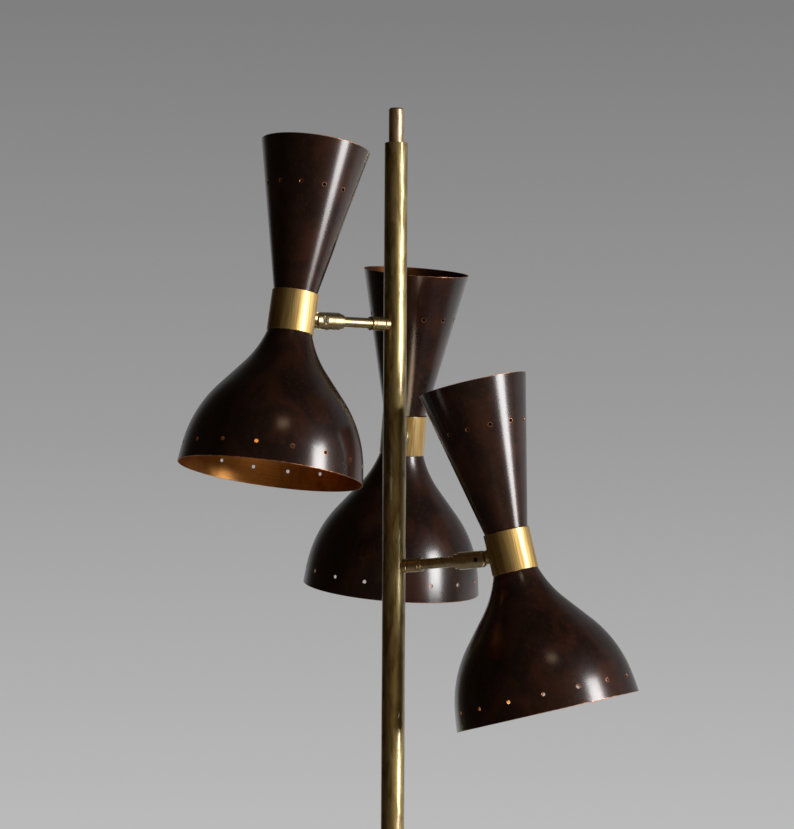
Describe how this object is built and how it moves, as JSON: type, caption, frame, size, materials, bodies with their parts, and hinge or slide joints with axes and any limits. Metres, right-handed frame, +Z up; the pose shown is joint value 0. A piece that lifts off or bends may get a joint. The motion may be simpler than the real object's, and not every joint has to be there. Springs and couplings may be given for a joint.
{
  "type": "tension pole lamp",
  "caption": "Brass floor-to-ceiling pole lamp with a sprung top plunger and pivoting double shades, each a bell joined to a cone by a brass band.",
  "frame": {"origin": "middle of the foot's underside, on the pole's axis", "axes": "+Z up the pole to the ceiling; -Y is the side the picture was taken from, +X to its right"},
  "size_m": [0.4854, 0.463, 2.45],
  "materials": {
    "aged_brass": "polished brass tube, gone uneven and brownish with age",
    "rod_brass": "aged brass, duller than the pole",
    "satin_brass": "turned satin brass",
    "brushed_brass": "brushed along the shade's axis",
    "shade_lacquer": "dark brown bronze lacquer, semi-gloss outside, copper brown inside, bare at the rims",
    "steel": "plain machined steel",
    "spring_steel": "drawn spring wire",
    "felt": "pressed felt",
    "black_bush": "moulded black",
    "lead_sleeve": "black sleeve",
    "tip_rubber": "dark rubber",
    "holder_black": "moulded dark phenolic",
    "bulb_glass": "frosted bulb glass"
  },
  "bodies": {
    "pole": {"foot_pad": "felt", "foot_plate": "satin_brass", "foot_bolt": "steel", "foot_socket": "aged_brass", "cord_inlet": "black_bush", "pole_lower": "aged_brass", "pole_joiner": "steel", "pole_upper": "aged_brass", "grub_screws": "steel", "pole_leads": "lead_sleeve", "top_bush": "aged_brass", "spring_seat": "steel", "plunger_spring": "spring_steel", "arm_bosses": "steel", "arm_nipples": "steel", "saddle_washers": "satin_brass", "arm_collars": "satin_brass", "collar_caps": "satin_brass"},
    "plunger": {"plunger_rod": "rod_brass", "plunger_stop": "steel", "tip_pad": "tip_rubber"},
    "arm_high": {"arm_tube_high": "satin_brass", "knuckle_fork_high": "satin_brass", "pivot_screw_high": "satin_brass", "friction_washers_high": "steel"},
    "shade_high": {"tongue_high": "satin_brass", "band_high": "brushed_brass", "cone_high": "shade_lacquer", "bell_high": "shade_lacquer", "socket_bridge_high": "steel", "socket_stem_high": "steel", "lampholders_high": "holder_black", "bulb_up_high": "bulb_glass", "bulb_down_high": "bulb_glass"},
    "arm_middle": {"arm_tube_middle": "satin_brass", "knuckle_fork_middle": "satin_brass", "pivot_screw_middle": "satin_brass", "friction_washers_middle": "steel"},
    "shade_middle": {"tongue_middle": "satin_brass", "band_middle": "brushed_brass", "cone_middle": "shade_lacquer", "bell_middle": "shade_lacquer", "socket_bridge_middle": "steel", "socket_stem_middle": "steel", "lampholders_middle": "holder_black", "bulb_up_middle": "bulb_glass", "bulb_down_middle": "bulb_glass"},
    "arm_low": {"arm_tube_low": "satin_brass", "knuckle_fork_low": "satin_brass", "pivot_screw_low": "satin_brass", "friction_washers_low": "steel"},
    "shade_low": {"tongue_low": "satin_brass", "band_low": "brushed_brass", "cone_low": "shade_lacquer", "bell_low": "shade_lacquer", "socket_bridge_low": "steel", "socket_stem_low": "steel", "lampholders_low": "holder_black", "bulb_up_low": "bulb_glass", "bulb_down_low": "bulb_glass"}
  },
  "joints": [
    {"name": "plunger_slide", "type": "slide", "parent": "pole", "child": "plunger", "axis": [0, 0, 1], "range_m": [-0.035, 0], "stiffness_N_per_m": 3000, "springref_m": 0.02, "deforming": ["plunger_spring"]},
    {"name": "swivel_high", "type": "hinge", "parent": "pole", "child": "arm_high", "pos_m": [-0.01966, -0.01542, 2.21353], "axis": [-0.7865, -0.6167, -0.0349], "range_deg": [-165, 165]},
    {"name": "tilt_high", "type": "hinge", "parent": "arm_high", "child": "shade_high", "pos_m": [-0.07865, -0.06167, 2.21091], "axis": [0.6175, -0.7862, -0.0244], "range_deg": [-7.9, 14.1]},
    {"name": "swivel_middle", "type": "hinge", "parent": "pole", "child": "arm_middle", "pos_m": [0.00161, 0.02495, 2.101], "axis": [0.0645, 0.9979, 0], "range_deg": [-165, 165]},
    {"name": "tilt_middle", "type": "hinge", "parent": "arm_middle", "child": "shade_middle", "pos_m": [0.00645, 0.09979, 2.101], "axis": [-0.994, 0.0643, 0.0889], "range_deg": [-6.4, 15.6]},
    {"name": "swivel_low", "type": "hinge", "parent": "pole", "child": "arm_low", "pos_m": [0.02252, -0.01074, 1.95503], "axis": [0.9009, -0.4297, 0.061], "range_deg": [-165, 165]},
    {"name": "tilt_low", "type": "hinge", "parent": "arm_low", "child": "shade_low", "pos_m": [0.09009, -0.04297, 1.95961], "axis": [0.4224, 0.9004, 0.1043], "range_deg": [-9.8, 12.2]}
  ]
}
